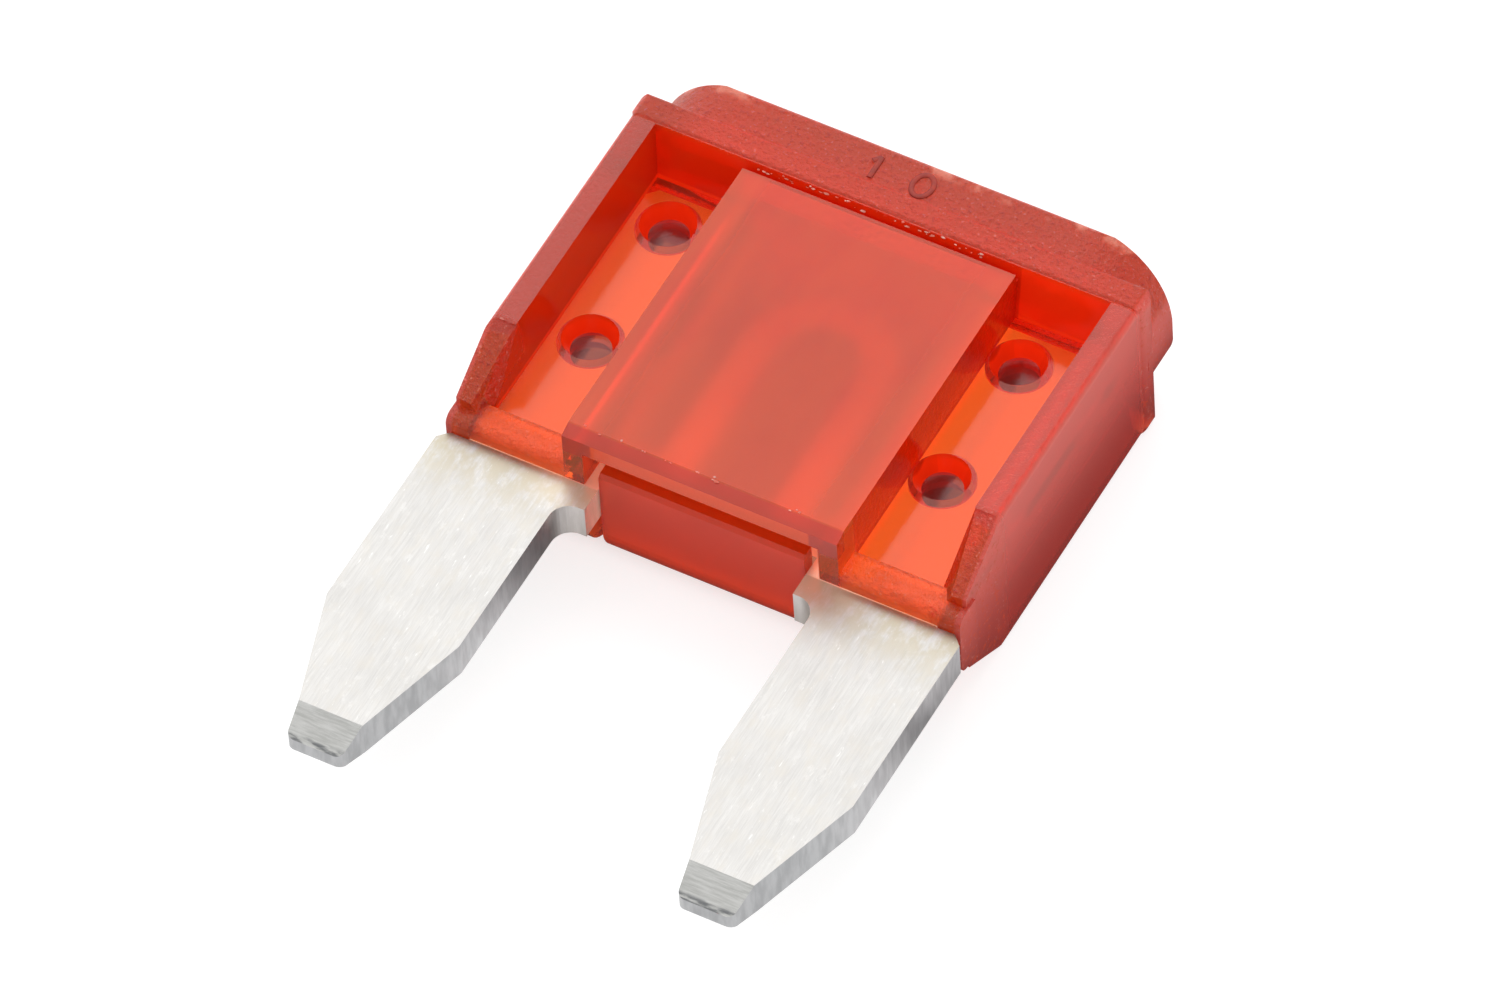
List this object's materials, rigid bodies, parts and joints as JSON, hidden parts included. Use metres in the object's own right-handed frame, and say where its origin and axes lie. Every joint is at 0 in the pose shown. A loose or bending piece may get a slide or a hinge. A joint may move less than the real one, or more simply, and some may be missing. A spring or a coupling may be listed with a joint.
{
  "type": "automotive blade fuse",
  "caption": "Mini blade fuse with a translucent red housing, a domed head, flat zinc blades with coined tips and an arched link in a closed chamber.",
  "frame": {"origin": "middle of the part's bounding box in X and Y, at the lowest face in Z: the back of the collar, on which the fuse lies", "axes": "+Z is the normal of the broad front face, +Y points from the blade tips to the head, +X to the right seen from the front"},
  "size_m": [0.011, 0.0162, 0.0038],
  "materials": {
    "housing": "translucent red moulded plastic, glossy in the channels, finely grained on the collar and lip",
    "strip": "bright rolled zinc with fine lengthwise brush marks and duller sheared edges"
  },
  "bodies": {
    "root": {"housing": "housing", "fuse_strip": "strip"}
  },
  "joints": []
}
